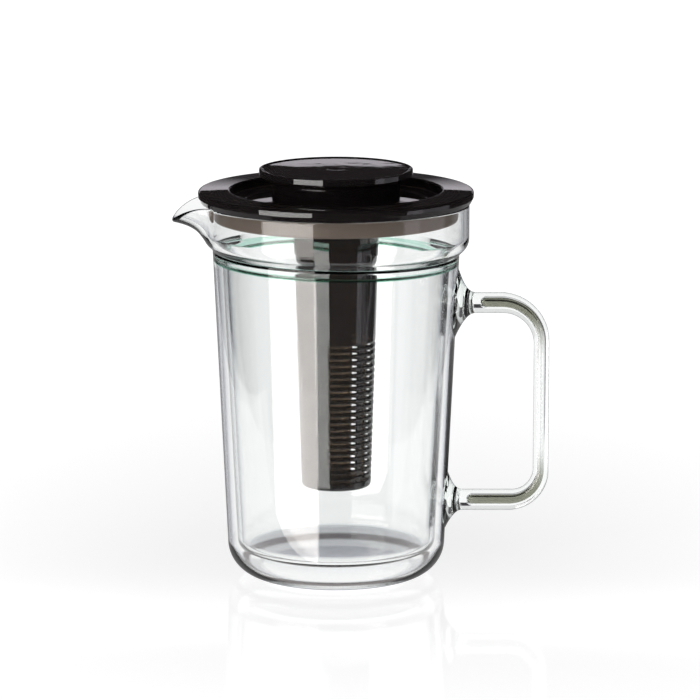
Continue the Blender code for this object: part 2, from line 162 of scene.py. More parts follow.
seen_through = maths(tree, "MAXIMUM", mirrored, path.outputs["Is Transmission Ray"])
surface = mixed(tree, seen_through, both.outputs[0], white.outputs[0])
surface = mixed(tree, gone, surface, through.outputs[0])
tree.links.new(surface, out.inputs["Surface"])

shape = bmesh.new()
rim_steps = 96
ring = []
for i in range(rim_steps):
    angle = math.tau * i / rim_steps
    ring.append(shape.verts.new((table_radius * math.cos(angle),
                                 table_radius * math.sin(angle), table_z)))
shape.faces.new(ring)
table_mesh = bpy.data.meshes.new("table_top")
shape.to_mesh(table_mesh)
shape.free()
table_top = bpy.data.objects.new("table_top", table_mesh)
table_mesh.materials.append(table_paint)
bpy.context.scene.collection.objects.link(table_top)

# Room: an even soft light on everything. The camera and clear glass see it white. A
# polished surface sees it dim, and so does a ray that was mirrored inside the glass,
# unless it leaves towards the sweep behind the jug.
room = bpy.data.worlds.new("room")
room.use_nodes = True
room.cycles.sampling_method = "NONE"
bpy.context.scene.world = room
tree = room.node_tree
tree.nodes.clear()
out = tree.nodes.new("ShaderNodeOutputWorld")
path = tree.nodes.new("ShaderNodeLightPath")
place = tree.nodes.new("ShaderNodeTexCoord")
way = tree.nodes.new("ShaderNodeSeparateXYZ")
tree.links.new(place.outputs["Generated"], way.inputs[0])
flat = maths(tree, "SQRT", maths(tree, "SUBTRACT", 1.0, maths(tree, "POWER", way.outputs["Z"], 2.0)))
facing_back = maths(tree, "GREATER_THAN", maths(tree, "DIVIDE", way.outputs["Y"], flat), 0.80)
steep = maths(tree, "LESS_THAN", way.outputs["Z"], math.sin(math.radians(50.0)))
behind = maths(tree, "MULTIPLY", facing_back, steep)
white_wall = node_at(tree, "ShaderNodeBackground", Strength=1.0)
even_light = node_at(tree, "ShaderNodeBackground", Strength=0.5)
sweep_wall = node_at(tree, "ShaderNodeBackground", Strength=0.8)
dim_wall = node_at(tree, "ShaderNodeBackground", Strength=1.0)
dim_wall.inputs["Color"].default_value = (0.022, 0.019, 0.020, 1.0)
grey_wall = node_at(tree, "ShaderNodeBackground", Strength=0.10)
in_glass = maths(tree, "MINIMUM", path.outputs["Transmission Depth"], 1.0)
glass_room = mixed(tree, behind, grey_wall.outputs[0], sweep_wall.outputs[0])
studio = mixed(tree, in_glass, dim_wall.outputs[0], glass_room)
mirrored = maths(tree, "MINIMUM", maths(tree, "ADD", path.outputs["Is Glossy Ray"],
                                        path.outputs["Glossy Depth"]), 1.0)
clear = maths(tree, "MAXIMUM", path.outputs["Is Camera Ray"], path.outputs["Is Transmission Ray"])
world = mixed(tree, clear, even_light.outputs[0], white_wall.outputs[0])
astray = maths(tree, "MAXIMUM", maths(tree, "SUBTRACT", mirrored, straight_through(path, tree)), 0.0)
world = mixed(tree, astray, world, studio)
tree.links.new(world, out.inputs["Surface"])


# Lights: one big softbox front left, standing lower than the table's edge, two dim strips
# on the right, and the low white sweep behind. Each has a face that only mirrored rays
# see. The softbox also has a lamp that lights what is matt.
def lit_face(name, turn, distance, width, low_z, high_z, radiance, colour, fade=None):
    """An upright face on a circle round the jug, seen only in reflections. Turn is in degrees
    from the camera's side, to the right. A fade is the low height, the high height, the
    radiance at the low one and what the two sides add."""
    glow = bpy.data.materials.new(name)
    glow.use_nodes = True
    glow.cycles.emission_sampling = "NONE"
    tree = glow.node_tree
    tree.nodes.clear()
    out = tree.nodes.new("ShaderNodeOutputMaterial")
    path = tree.nodes.new("ShaderNodeLightPath")
    lit = node_at(tree, "ShaderNodeEmission", Strength=radiance)
    lit.inputs["Color"].default_value = (*colour, 1.0)
    if fade:
        place = tree.nodes.new("ShaderNodeTexCoord")
        where = tree.nodes.new("ShaderNodeSeparateXYZ")
        tree.links.new(place.outputs["Object"], where.inputs[0])
        upwards = tree.nodes.new("ShaderNodeMapRange")
        for socket, value in (("From Min", fade[0]), ("From Max", fade[1]),
                              ("To Min", fade[2]), ("To Max", radiance)):
            upwards.inputs[socket].default_value = value
        tree.links.new(where.outputs["Z"], upwards.inputs["Value"])
        sideways = tree.nodes.new("ShaderNodeMapRange")
        for socket, value in (("From Min", 0.08), ("From Max", 0.34),
                              ("To Min", 0.0), ("To Max", fade[3])):
            sideways.inputs[socket].default_value = value
        tree.links.new(maths(tree, "ABSOLUTE", where.outputs["X"]), sideways.inputs["Value"])
        total = maths(tree, "ADD", upwards.outputs[0], sideways.outputs[0])
        tree.links.new(total, lit.inputs["Strength"])
    unseen = tree.nodes.new("ShaderNodeBsdfTransparent")
    mirrored = maths(tree, "MINIMUM", maths(tree, "ADD", path.outputs["Is Glossy Ray"],
                                            path.outputs["Glossy Depth"]), 1.0)
    tree.links.new(mixed(tree, mirrored, unseen.outputs[0], lit.outputs[0]), out.inputs["Surface"])
    middle, across = math.radians(turn), width / distance / 2.0
    columns = 8
    shape = bmesh.new()
    feet, tops = [], []
    for k in range(columns + 1):
        angle = middle + across * (2.0 * k / columns - 1.0)
        x, y = distance * math.sin(angle), -distance * math.cos(angle)
        feet.append(shape.verts.new((x, y, low_z)))
        tops.append(shape.verts.new((x, y, high_z)))
    for k in range(columns):
        shape.faces.new((feet[k], feet[k + 1], tops[k + 1], tops[k]))
    mesh = bpy.data.meshes.new(name)
    shape.to_mesh(mesh)
    shape.free()
    mesh.materials.append(glow)
    made = bpy.data.objects.new(name, mesh)
    made.visible_camera = False
    made.visible_diffuse = False
    made.visible_shadow = False
    bpy.context.scene.collection.objects.link(made)


lit_face("softbox_face", -42.0, 1.2, 0.96, -0.7, 0.9, 5.5, (1.0, 0.985, 0.96))
lit_face("right_strip_face", 68.0, 1.2, 0.33, -0.36, 0.24, 1.2, (0.94, 0.92, 1.0))
lit_face("right_fill_face", 91.0, 1.2, 0.63, -0.36, 0.24, 0.6, (0.94, 0.92, 1.0))
lit_face("sweep_face", 180.0, 1.57, 0.94, 0.0, 0.4485, 0.85, (0.98, 0.93, 1.0),
         (0.39, 0.437, 0.05, 0.18))

lamp = bpy.data.lights.new("softbox_lamp", "AREA")
lamp.shape = "RECTANGLE"
lamp.size = 1.0
lamp.size_y = 0.9
lamp.energy = 4.5
softbox_lamp = bpy.data.objects.new("softbox_lamp", lamp)
lamp_turn = math.radians(-42.0)
softbox_lamp.location = (1.2 * math.sin(lamp_turn), -1.2 * math.cos(lamp_turn), 0.5)
softbox_lamp.rotation_euler = (math.radians(70.0), 0.0, lamp_turn)
softbox_lamp.visible_camera = False
softbox_lamp.visible_glossy = False
softbox_lamp.visible_transmission = False
bpy.context.scene.collection.objects.link(softbox_lamp)

# Glass walls: a blown inner vessel and a blown jacket round it, fused at the seam below
# the collar, with air sealed between. Clear borosilicate, fire-polished at the rim, which
# is pulled out into a lip on the side away from the handle.
vessel_foot_r = 0.0496
vessel_top_r = 0.0572
vessel_foot_z = 0.0124
vessel_wall = 0.0021
vessel_floor = 0.0026
vessel_corner_r = 0.0065
jacket_foot_r = 0.0550
jacket_top_r = 0.0619
jacket_wall = 0.0021
jacket_base = 0.0024
jacket_corner_r = 0.018
jacket_seam_z = 0.1632
collar_r = 0.0668
collar_wall = 0.0024
flare_angle = math.radians(47.0)
rim_z = 0.1902
lip_length = 0.0196
lip_bend = math.radians(84.0)
lip_bend_length = 0.0066
lip_half_angle = math.radians(22.0)
lip_shape = 1.3
glass_steps = 240


def rounded(corners, arc_steps=8):
    """An outline in (r, z) through corners (r, z, fillet radius), each one rounded."""
    points = []
    for i, (r, z, fillet) in enumerate(corners):
        if not fillet or i in (0, len(corners) - 1):
            points.append((r, z))
            continue
        corner = Vector((r, z))
        back = (Vector(corners[i - 1][:2]) - corner).normalized()
        ahead = (Vector(corners[i + 1][:2]) - corner).normalized()
        half = back.angle(ahead) / 2.0
        reach = fillet / math.tan(half)
        centre = corner + (back + ahead).normalized() * fillet / math.sin(half)
        first = corner + back * reach - centre
        last = corner + ahead * reach - centre
        sweep_angle = first.angle_signed(last)
        steps = max(5, round(arc_steps * math.sqrt(min(1.0, fillet / 0.018))))
        for k in range(steps + 1):
            turn = -sweep_angle * k / steps
            point = centre + Vector((first.x * math.cos(turn) - first.y * math.sin(turn),
                                     first.x * math.sin(turn) + first.y * math.cos(turn)))
            points.append((point.x, point.y))
    # Points close to both ends keep a straight run straight when it is shaded smooth
    held = [points[0]]
    for first, last in zip(points, points[1:]):
        run = math.hypot(last[0] - first[0], last[1] - first[1])
        if run > 0.0012:
            for share in (0.0002 / run, 1.0 - 0.0002 / run):
                held.append((first[0] + (last[0] - first[0]) * share,
                             first[1] + (last[1] - first[1]) * share))
        held.append(last)
    return held


def spun(name, outlines, steps, material, closed=False):
    """A mesh object turned round Z from outlines in (r, z). Each goes from axis to axis, or
    all are closed loops. An outline that runs up the outside faces outwards."""
    shape = bmesh.new()
    for outline in outlines:
        rings = []
        for r, z in outline:
            if r < 1e-7:
                rings.append([shape.verts.new((0.0, 0.0, z))])
                continue
            around = [math.tau * k / steps for k in range(steps)]
            rings.append([shape.verts.new((r * math.cos(a), r * math.sin(a), z)) for a in around])
        pairs = list(zip(rings, rings[1:]))
        if closed:
            pairs.append((rings[-1], rings[0]))
        for low_ring, high_ring in pairs:
            for k in range(steps):
                n = (k + 1) % steps
                corners = [low_ring[k % len(low_ring)], low_ring[n % len(low_ring)],
                           high_ring[n % len(high_ring)], high_ring[k % len(high_ring)]]
                corners = list(dict.fromkeys(corners))
                if len(corners) > 2:
                    shape.faces.new(corners)
    mesh = bpy.data.meshes.new(name)
    shape.to_mesh(mesh)
    shape.free()
    mesh.shade_smooth()
    made = bpy.data.objects.new(name, mesh)
    mesh.materials.append(material)
    bpy.context.scene.collection.objects.link(made)
    return made


def clear_glass_material():
    """Clear glass: a trace of green in its depth, painted shade at its edges, a painted seam line and foot
    line, and very slight waves.
    """
    made = bpy.data.materials.new("clear_glass")
    made.use_nodes = True
    tree = made.node_tree
    glass = tree.nodes["Principled BSDF"]
    out = tree.nodes["Material Output"]
    glass.inputs["Roughness"].default_value = 0.0
    glass.inputs["IOR"].default_value = 1.47
    glass.inputs["Transmission Weight"].default_value = 1.0
    glass.inputs["Specular Tint"].default_value = (0.70, 0.67, 0.66, 1.0)
    place = tree.nodes.new("ShaderNodeTexCoord")
    waves = node_at(tree, "ShaderNodeTexNoise", Scale=26.0, Detail=2.0, Roughness=0.45)
    tree.links.new(place.outputs["Object"], waves.inputs["Vector"])
    bump = node_at(tree, "ShaderNodeBump", Strength=0.10, Distance=0.0003)
    tree.links.new(waves.outputs["Fac"], bump.inputs["Height"])
    tree.links.new(bump.outputs[0], glass.inputs["Normal"])
    # Painted shade: towards grazing angles the colour turns cold, then nearly black, for the dark edges that
    # refraction gives
    edge = node_at(tree, "ShaderNodeLayerWeight", Blend=0.5)
    tint = tree.nodes.new("ShaderNodeValToRGB")
    tint.color_ramp.elements[0].position = 0.66
    tint.color_ramp.elements[0].color = (1.0, 1.0, 1.0, 1.0)
    tint.color_ramp.elements[1].position = 1.0
    tint.color_ramp.elements[1].color = (0.05, 0.05, 0.07, 1.0)
    tint.color_ramp.elements.new(0.76).color = (0.76, 0.78, 0.84, 1.0)
    tint.color_ramp.elements.new(0.86).color = (0.20, 0.20, 0.25, 1.0)
    tree.links.new(edge.outputs["Facing"], tint.inputs[0])
    # Painted shade: a thin dark line is painted on the back faces where a ray leaves the glass at its
    # steepest angle
    painted_exit_line = tree.nodes.new("ShaderNodeValToRGB")
    painted_exit_line.color_ramp.elements[0].position = 0.250
    painted_exit_line.color_ramp.elements[0].color = (1.0, 1.0, 1.0, 1.0)
    painted_exit_line.color_ramp.elements[1].position = 0.268
    painted_exit_line.color_ramp.elements[1].color = (0.10, 0.09, 0.10, 1.0)
    tree.links.new(edge.outputs["Facing"], painted_exit_line.inputs[0])
    side = tree.nodes.new("ShaderNodeNewGeometry")
    walls = tree.nodes.new("ShaderNodeMix")
    walls.data_type = "RGBA"
    tree.links.new(side.outputs["Backfacing"], walls.inputs["Factor"])
    tree.links.new(tint.outputs[0], walls.inputs["A"])
    tree.links.new(painted_exit_line.outputs[0], walls.inputs["B"])
    height = tree.nodes.new("ShaderNodeSeparateXYZ")
    tree.links.new(place.outputs["Object"], height.inputs[0])
    # Across the thick fused ring the painted edge shade gives way to one dark line, partly the glass's own
    # green and partly painted shade
    fused = tree.nodes.new("ShaderNodeMapRange")
    fused.interpolation_type = "SMOOTHSTEP"
    fused.inputs["From Min"].default_value = 0.0040
    fused.inputs["From Max"].default_value = 0.0028
    off_seam = maths(tree, "ABSOLUTE", maths(tree, "SUBTRACT", height.outputs["Z"], 0.1626))
    tree.links.new(off_seam, fused.inputs["Value"])
    painted_seam_line = tree.nodes.new("ShaderNodeMapRange")
    painted_seam_line.interpolation_type = "SMOOTHSTEP"
    painted_seam_line.inputs["From Min"].default_value = 0.0011
    painted_seam_line.inputs["From Max"].default_value = 0.0005
    # The ring leans, hand-made, and is higher on the lip's side
    level = maths(tree, "MULTIPLY_ADD", height.outputs["X"], seam_lean, height.outputs["Z"])
    off_arch = maths(tree, "ABSOLUTE", maths(tree, "SUBTRACT", level, air_top_z + seam_lift - 0.0006))
    tree.links.new(off_arch, painted_seam_line.inputs["Value"])
    green = tree.nodes.new("ShaderNodeMix")
    green.data_type = "RGBA"
    tree.links.new(painted_seam_line.outputs[0], green.inputs["Factor"])
    green.inputs["A"].default_value = (0.98, 1.0, 0.995, 1.0)
    green.inputs["B"].default_value = (0.30, 0.60, 0.48, 1.0)
    painted_seam_tint = green.outputs["Result"]
    green = tree.nodes.new("ShaderNodeMix")
    green.data_type = "RGBA"
    tree.links.new(fused.outputs[0], green.inputs["Factor"])
    tree.links.new(walls.outputs["Result"], green.inputs["A"])
    tree.links.new(painted_seam_tint, green.inputs["B"])
    # A painted dark line runs round the foot's corner: painted shade where the wall turns under
    painted_foot_band = tree.nodes.new("ShaderNodeMapRange")
    painted_foot_band.interpolation_type = "SMOOTHSTEP"
    painted_foot_band.inputs["From Min"].default_value = 0.0019
    painted_foot_band.inputs["From Max"].default_value = 0.0007
    off_corner = maths(tree, "ABSOLUTE", maths(tree, "SUBTRACT", height.outputs["Z"], 0.0056))
    tree.links.new(off_corner, painted_foot_band.inputs["Value"])
    out_from_axis = maths(tree, "SQRT", maths(tree, "ADD", maths(tree, "POWER", height.outputs["X"], 2.0),
                                              maths(tree, "POWER", height.outputs["Y"], 2.0)))
    outside = maths(tree, "MULTIPLY", maths(tree, "GREATER_THAN", out_from_axis, 0.0440),
                    maths(tree, "SUBTRACT", 1.0, side.outputs["Backfacing"]))
    painted_foot_line = maths(tree, "MULTIPLY", painted_foot_band.outputs[0], outside)
    painted_foot_shade = tree.nodes.new("ShaderNodeMix")
    painted_foot_shade.data_type = "RGBA"
    painted_foot_shade.blend_type = "MULTIPLY"
    tree.links.new(painted_foot_line, painted_foot_shade.inputs["Factor"])
    tree.links.new(green.outputs["Result"], painted_foot_shade.inputs["A"])
    painted_foot_shade.inputs["B"].default_value = (0.075, 0.062, 0.062, 1.0)
    tree.links.new(painted_foot_shade.outputs["Result"], glass.inputs["Base Color"])
    depth = tree.nodes.new("ShaderNodeVolumeAbsorption")
    depth.inputs["Color"].default_value = (0.50, 0.92, 0.72, 1.0)
    depth.inputs["Density"].default_value = 5.0
    tree.links.new(depth.outputs[0], out.inputs["Volume"])
    return made


def lip_pulled(radius, angle, z):
    """Where a point of the collar goes as the lip is bent outwards and down. The wall bends
    like a strip, and the bend fades out towards the lip's two sides."""
    height = z - (rim_z - lip_length)
    away = abs(angle) / lip_half_angle
    if height <= 0.0 or away >= 1.0:
        return radius, z
    weight = (1.0 - away * away) ** lip_shape
    steps = 24
    bent_r, bent_z, slope = collar_r, z - height, 0.0
    for i in range(steps):
        along = (i + 0.5) * height / steps
        slope = weight * lip_bend * (1.0 - math.exp(-along / lip_bend_length))
        bent_r += height / steps * math.sin(slope)
        bent_z += height / steps * math.cos(slope)
    inset = collar_r - radius
    return bent_r - inset * math.cos(slope), bent_z + inset * math.sin(slope)


knee_z = jacket_seam_z + (collar_r - jacket_top_r) / math.tan(flare_angle)
collar_inner_r = collar_r - collar_wall
knee_inner_z = knee_z + collar_wall * math.tan(flare_angle / 2.0)
neck_inner_r = vessel_top_r - vessel_wall
neck_inner_z = knee_inner_z - (collar_inner_r - neck_inner_r) / math.tan(flare_angle) + 0.0009
rim_round = collar_wall * 0.499
outer_side = rounded([
    (0.0, 0.0, 0.0),
    (jacket_foot_r - 0.0010, 0.0, 0.0170),
    (jacket_top_r, jacket_seam_z, 0.0014),
    (collar_r, knee_z, 0.0080),
    (collar_r, rim_z, rim_round),
    (collar_inner_r, rim_z, rim_round),
    (collar_inner_r, knee_inner_z, 0.0070),
    (neck_inner_r, neck_inner_z, 0.0020),
    (vessel_foot_r - vessel_wall, vessel_foot_z + vessel_floor, vessel_corner_r - vessel_wall),
    (0.0, vessel_foot_z + vessel_floor, 0.0),
], 26)
air_top_z = jacket_seam_z - 0.0042
air_inner_top_r = vessel_top_r - 0.0001
air_outer_top_r = jacket_top_r - jacket_wall - 0.0001
air_side = rounded([
    (0.0, vessel_foot_z, 0.0),
    (vessel_foot_r, vessel_foot_z, vessel_corner_r),
    (air_inner_top_r, air_top_z, 0.00125),
    (air_outer_top_r, air_top_z, 0.00125),
    (jacket_foot_r - jacket_wall, jacket_base, jacket_corner_r - jacket_wall),
    (0.0, jacket_base, 0.0),
], 26)
seam_lift = 0.0024
seam_lean = 0.020
# The collar's long straight sides get rows for the lip to bend along
rows = 22
bending = []
for (r0, z0), (r1, z1) in zip(outer_side, outer_side[1:]):
    bending.append((r0, z0))
    if abs(z1 - z0) > 0.010 and abs(r1 - r0) < 0.0001:
        bending += [(r0 + (r1 - r0) * k / rows, z0 + (z1 - z0) * k / rows) for k in range(1, rows)]
bending.append(outer_side[-1])

clear_glass = clear_glass_material()
glass_walls = spun("glass_walls", [bending, air_side], glass_steps, clear_glass)
# The shoulder and the fused ring sit a little high and lean, as they were made by hand
for vertex in glass_walls.data.vertices:
    rise = min(1.0, max(0.0, (vertex.co.z - 0.128) / 0.022))
    fall = min(1.0, max(0.0, (0.187 - vertex.co.z) / 0.014))
    share = min(rise * rise * (3.0 - 2.0 * rise), fall * fall * (3.0 - 2.0 * fall))
    vertex.co.z += share * (seam_lift - seam_lean * vertex.co.x)
for vertex in glass_walls.data.vertices:
    if vertex.co.z > rim_z - lip_length and vertex.co.x < 0.0:
        radius = math.hypot(vertex.co.x, vertex.co.y)
        angle = math.atan2(vertex.co.y, -vertex.co.x)
        radius, vertex.co.z = lip_pulled(radius, angle, vertex.co.z)
        vertex.co.x, vertex.co.y = -radius * math.cos(angle), radius * math.sin(angle)

# Handle: one hollow glass tube, bent in the flame, drawn thinner along the grip and
# flared into a trumpet at each end, where it is fused to the jacket. The walls and the
# handle are one piece of glass, so they are joined into one closed mesh.
handle_top_z = 0.1388
handle_low_z = 0.0374
handle_reach = 0.1034
arm_r = 0.0053
grip_r = 0.0039
top_bend_r = 0.0205
low_bend_r = 0.0155
top_flare, top_flare_length = 0.0120, 0.0090
low_flare, low_flare_length = 0.0090, 0.0075
root_sink = 0.0010
bore_share = 0.42
handle_sides = 56


def jacket_r(z):
    """The jacket's outer radius at a height."""
    share = (z - jacket_corner_r) / (jacket_seam_z - jacket_corner_r)
    return jacket_foot_r + (jacket_top_r - jacket_foot_r) * share


def handle_stations():
    """Centre (x, z), direction and radius along the handle, from its top root to its low one."""
    stations = []
    rings_root, rings_straight, rings_bend, rings_grip = 18, 5, 20, 16
    top_x, low_x = jacket_r(handle_top_z), jacket_r(handle_low_z)
    for k in range(rings_root):
        along = -root_sink + (top_flare_length + root_sink) * (k / rings_root) ** 1.3
        flare = top_flare * max(0.0, 1.0 - max(0.0, along) / top_flare_length) ** 2
        stations.append((top_x + along, handle_top_z, 0.0, arm_r + flare))
    straight_end = handle_reach - top_bend_r
    for k in range(rings_straight):
        start = top_x + top_flare_length
        stations.append((start + (straight_end - start) * k / rings_straight, handle_top_z, 0.0, arm_r))
    for k in range(rings_bend + 1):
        turn = math.radians(90.0) * k / rings_bend
        r = arm_r + (grip_r - arm_r) * k / rings_bend
        stations.append((straight_end + top_bend_r * math.sin(turn),
                         handle_top_z - top_bend_r * (1.0 - math.cos(turn)), turn, r))
    grip_top, grip_low = handle_top_z - top_bend_r, handle_low_z + low_bend_r
    for k in range(1, rings_grip):
        stations.append((handle_reach, grip_top + (grip_low - grip_top) * k / rings_grip,
                         math.radians(90.0), grip_r))
    for k in range(rings_bend + 1):
        turn = math.radians(90.0) * k / rings_bend
        r = grip_r + (arm_r - grip_r) * k / rings_bend
        stations.append((handle_reach - low_bend_r * (1.0 - math.cos(turn)),
                         grip_low - low_bend_r * math.sin(turn), math.radians(90.0) + turn, r))
    straight_end = handle_reach - low_bend_r
    for k in range(1, rings_straight + 1):
        end = low_x + low_flare_length
        stations.append((straight_end + (end - straight_end) * k / rings_straight, handle_low_z,
                         math.radians(180.0), arm_r))
    for k in reversed(range(rings_root)):
        along = -root_sink + (low_flare_length + root_sink) * (k / rings_root) ** 1.3
        flare = low_flare * max(0.0, 1.0 - max(0.0, along) / low_flare_length) ** 2
        stations.append((low_x + along, handle_low_z, math.radians(180.0), arm_r + flare))
    return stations


def tube_rings(shape, stations, inwards=False):
    """A bent tube through stations, closed at both ends. Inwards is for the bore, which has
    the second material."""
    rings = []
    for x, z, turn, r in stations:
        ring = []
        for k in range(handle_sides):
            around = math.tau * k / handle_sides
            up = r * math.cos(around)
            ring.append(shape.verts.new((x + up * math.sin(turn), r * math.sin(around),
                                         z + up * math.cos(turn))))
        rings.append(ring)
    faces = []
    for first, second in zip(rings, rings[1:]):
        for k in range(handle_sides):
            n = (k + 1) % handle_sides
            faces.append(shape.faces.new((first[k], first[n], second[n], second[k])))
    for ring, (x, z, turn, r) in ((rings[0], stations[0]), (rings[-1], stations[-1])):
        tip = shape.verts.new((x, 0.0, z))
        for k in range(handle_sides):
            n = (k + 1) % handle_sides
            corners = (ring[n], ring[k], tip) if ring is rings[0] else (ring[k], ring[n], tip)
            faces.append(shape.faces.new(corners))
    bmesh.ops.recalc_face_normals(shape, faces=faces)
    if inwards:
        bmesh.ops.reverse_faces(shape, faces=faces)
        for face in faces:
            face.material_index = 1


stations = handle_stations()
shape = bmesh.new()
tube_rings(shape, stations)
# The bore starts and ends in a rounded tip short of the roots
bore = []
bore_start_x, bore_end_x = 0.0728, 0.0645
tip_length = 0.0030
tip_steps = 8
middle_z = (handle_top_z + handle_low_z) / 2.0
inside = [s for s in stations if s[0] > (bore_start_x if s[1] > middle_z else bore_end_x)]


def bore_tip(station, order):
    """The rounded end of the bore beside a station."""
    x, z, turn, r = station
    tip = []
    for k in order:
        share = k / tip_steps
        tip.append((x - tip_length * (1.0 - math.sin(share * math.pi / 2.0)), z, turn,
                    arm_r * bore_share * math.sin(math.acos(1.0 - share))))
    return tip


bore += bore_tip(inside[0], range(1, tip_steps + 1))
bore += [(x, z, turn, r * bore_share) for x, z, turn, r in inside[1:-1]]
bore += bore_tip(inside[-1], reversed(range(1, tip_steps + 1)))
tube_rings(shape, bore, inwards=True)
for vertex in shape.verts:
    x, y, z = vertex.co
    for root_z, length in ((handle_top_z, top_flare_length), (handle_low_z, low_flare_length)):
        if abs(z - root_z) > 0.03:
            continue
        wall_x = jacket_r(root_z)
        share = min(1.0, 1.0 - (x - wall_x) / length)
        if share <= 0.0:
            continue
        here_r = jacket_r(z)
        here_x = math.sqrt(max(0.0, here_r * here_r - y * y))
        vertex.co.x = x + share * share * (3.0 - 2.0 * share) * (here_x - wall_x)
handle_mesh = bpy.data.meshes.new("glass_handle")
shape.to_mesh(handle_mesh)
shape.free()
handle_mesh.materials.append(clear_glass)
glass_handle = bpy.data.objects.new("glass_handle", handle_mesh)
bpy.context.scene.collection.objects.link(glass_handle)

# The bore's wall is darker and olive along the two arms, away from the handle's middle height
bore_glass = clear_glass.copy()
bore_glass.name = "bore_glass"
tree = bore_glass.node_tree
glass = tree.nodes["Principled BSDF"]
tree.nodes.remove(tree.nodes["Volume Absorption"])
place = tree.nodes.new("ShaderNodeTexCoord")
where = tree.nodes.new("ShaderNodeSeparateXYZ")
tree.links.new(place.outputs["Object"], where.inputs[0])
above = tree.nodes.new("ShaderNodeMapRange")
above.interpolation_type = "SMOOTHSTEP"
above.inputs["From Min"].default_value = 0.020
above.inputs["From Max"].default_value = 0.046
from_middle = maths(tree, "ABSOLUTE", maths(tree, "SUBTRACT", where.outputs["Z"], middle_z))
tree.links.new(from_middle, above.inputs["Value"])
olive = tree.nodes.new("ShaderNodeMix")
olive.data_type = "RGBA"
tree.links.new(above.outputs[0], olive.inputs["Factor"])
olive.inputs["A"].default_value = (0.93, 0.94, 0.94, 1.0)
olive.inputs["B"].default_value = (0.26, 0.265, 0.21, 1.0)
tree.links.new(olive.outputs["Result"], glass.inputs["Base Color"])
handle_mesh.materials.append(bore_glass)
glass_walls.data.materials.append(bore_glass)

fuse = glass_walls.modifiers.new("fuse", "BOOLEAN")
fuse.operation = "UNION"
fuse.solver = "EXACT"
fuse.object = glass_handle
bpy.context.view_layer.update()
depsgraph = bpy.context.evaluated_depsgraph_get()
glass_mesh = bpy.data.meshes.new_from_object(glass_walls.evaluated_get(depsgraph))
glass_walls.modifiers.clear()
glass_walls.data = glass_mesh
glass_mesh.shade_smooth()
glass_mesh.set_sharp_from_angle(angle=math.radians(55.0))
bpy.data.objects.remove(glass_handle, do_unlink=True)
glass_walls.name = "glass_jug_body"
glass_walls.visible_shadow = False
glass_walls.visible_diffuse = False
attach(glass_walls, "jug")
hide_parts("inner_vessel", "outer_jacket", "handle")


